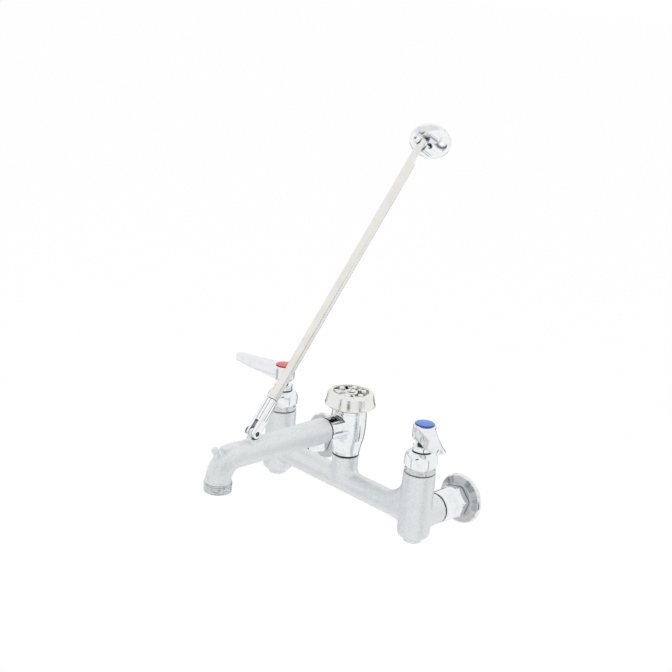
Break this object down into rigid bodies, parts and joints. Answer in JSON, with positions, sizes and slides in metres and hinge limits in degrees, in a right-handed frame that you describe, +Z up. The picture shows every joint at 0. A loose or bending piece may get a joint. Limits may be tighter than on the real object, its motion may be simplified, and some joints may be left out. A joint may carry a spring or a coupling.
{
  "type": "wall-mounted service sink faucet",
  "caption": "Wall-mounted service sink mixing faucet with lever handles, a vacuum breaker, a rigid hose-thread spout with a pail hook, and a rod brace to the wall.",
  "frame": {"origin": "on the wall plane, midway between the axes of the two supply inlets", "axes": "+X towards the cold supply, +Y into the wall, +Z up"},
  "size_m": [0.3152, 0.2864, 0.3988],
  "materials": {
    "satin_chrome": "rough chrome plate over a cast surface",
    "chrome": "polished chrome plate",
    "nickel": "warm nickel tone",
    "brass": "machined",
    "black_rubber": "matt",
    "fibre": "matt",
    "dark_steel": "satin",
    "red_plastic": "gloss",
    "blue_plastic": "gloss"
  },
  "bodies": {
    "faucet_body": {"body_casting": "satin_chrome", "hot_coupling_nut": "chrome", "cold_coupling_nut": "chrome", "hot_inlet_tailpiece": "brass", "cold_inlet_tailpiece": "brass", "hot_wall_flange": "chrome", "cold_wall_flange": "chrome", "hot_coupling_washer": "black_rubber", "cold_coupling_washer": "black_rubber", "hot_valve_seat": "brass", "cold_valve_seat": "brass", "hot_bonnet": "chrome", "cold_bonnet": "chrome", "hot_bonnet_washer": "fibre", "cold_bonnet_washer": "fibre", "hot_packing_nut": "chrome", "cold_packing_nut": "chrome", "hot_packing_seal": "black_rubber", "cold_packing_seal": "black_rubber", "hot_stem_packing": "fibre", "cold_stem_packing": "fibre", "hot_stop_plug": "satin_chrome", "cold_stop_plug": "satin_chrome", "vb_base_seal": "black_rubber", "vb_body": "chrome", "vb_bonnet": "chrome", "vb_hood": "nickel", "vb_hood_screw": "chrome", "spout_seal": "black_rubber", "spout": "satin_chrome"},
    "hot_handle_set": {"hot_stem": "dark_steel", "hot_lever": "chrome", "hot_index_button": "red_plastic", "hot_handle_screw": "dark_steel"},
    "hot_plunger_set": {"hot_plunger": "brass", "hot_seat_washer": "black_rubber"},
    "hot_stop_screw": {"hot_stop_spindle": "brass"},
    "hot_stop_shutter": {"hot_stop_disc": "brass"},
    "cold_handle_set": {"cold_stem": "dark_steel", "cold_lever": "chrome", "cold_index_button": "blue_plastic", "cold_handle_screw": "dark_steel"},
    "cold_plunger_set": {"cold_plunger": "brass", "cold_seat_washer": "black_rubber"},
    "cold_stop_screw": {"cold_stop_spindle": "brass"},
    "cold_stop_shutter": {"cold_stop_disc": "brass"},
    "breaker_float": {"vb_float": "brass", "vb_float_washer": "black_rubber"},
    "brace_fork": {"brace_clevis": "chrome", "clevis_screw": "dark_steel"},
    "brace_stay": {"brace_rod": "nickel"},
    "brace_foot": {"brace_flange": "chrome", "pivot_washer": "chrome", "pivot_screw": "dark_steel"}
  },
  "joints": [
    {"name": "hot_handle_turn", "type": "hinge", "parent": "faucet_body", "child": "hot_handle_set", "pos_m": [-0.1016, -0.073, 0.09], "axis": [0, 0, 1], "range_deg": [0, 90]},
    {"name": "hot_plunger_lift", "type": "slide", "parent": "faucet_body", "child": "hot_plunger_set", "axis": [0, 0, 1], "range_m": [0, 0.003]},
    {"name": "hot_stop_turn", "type": "hinge", "parent": "faucet_body", "child": "hot_stop_screw", "pos_m": [-0.1016, -0.073, -0.02], "axis": [0, 0, 1], "range_deg": [0, 1080]},
    {"name": "hot_stop_lift", "type": "slide", "parent": "faucet_body", "child": "hot_stop_shutter", "axis": [0, 0, 1], "range_m": [0, 0.004]},
    {"name": "cold_handle_turn", "type": "hinge", "parent": "faucet_body", "child": "cold_handle_set", "pos_m": [0.1016, -0.073, 0.09], "axis": [0, 0, -1], "range_deg": [0, 90]},
    {"name": "cold_plunger_lift", "type": "slide", "parent": "faucet_body", "child": "cold_plunger_set", "axis": [0, 0, 1], "range_m": [0, 0.003]},
    {"name": "cold_stop_turn", "type": "hinge", "parent": "faucet_body", "child": "cold_stop_screw", "pos_m": [0.1016, -0.073, -0.02], "axis": [0, 0, 1], "range_deg": [0, 1080]},
    {"name": "cold_stop_lift", "type": "slide", "parent": "faucet_body", "child": "cold_stop_shutter", "axis": [0, 0, 1], "range_m": [0, 0.004]},
    {"name": "breaker_float_lift", "type": "slide", "parent": "faucet_body", "child": "breaker_float", "axis": [0, 0, 1], "range_m": [0, 0.003]},
    {"name": "brace_lift", "type": "hinge", "parent": "faucet_body", "child": "brace_fork", "pos_m": [0, -0.204, 0.0834], "axis": [1, 0, 0], "range_deg": [-39, 121]},
    {"name": "rod_turn", "type": "hinge", "parent": "brace_fork", "child": "brace_stay", "pos_m": [0, -0.204, 0.0834], "axis": [0, 0.6018, 0.7986], "range_deg": [-180, 180]},
    {"name": "flange_tip", "type": "hinge", "parent": "brace_stay", "child": "brace_foot", "pos_m": [0, -0.00167, 0.3519], "axis": [0.4772, 0.7019, -0.5289], "range_deg": [-64, 134]}
  ],
  "couplings": [
    {"joint": "hot_plunger_lift", "follows": "hot_handle_turn", "m_per_rad": 0.001909},
    {"joint": "hot_stop_lift", "follows": "hot_stop_turn", "m_per_rad": 0.0002122},
    {"joint": "cold_plunger_lift", "follows": "cold_handle_turn", "m_per_rad": 0.001909},
    {"joint": "cold_stop_lift", "follows": "cold_stop_turn", "m_per_rad": 0.0002122}
  ]
}
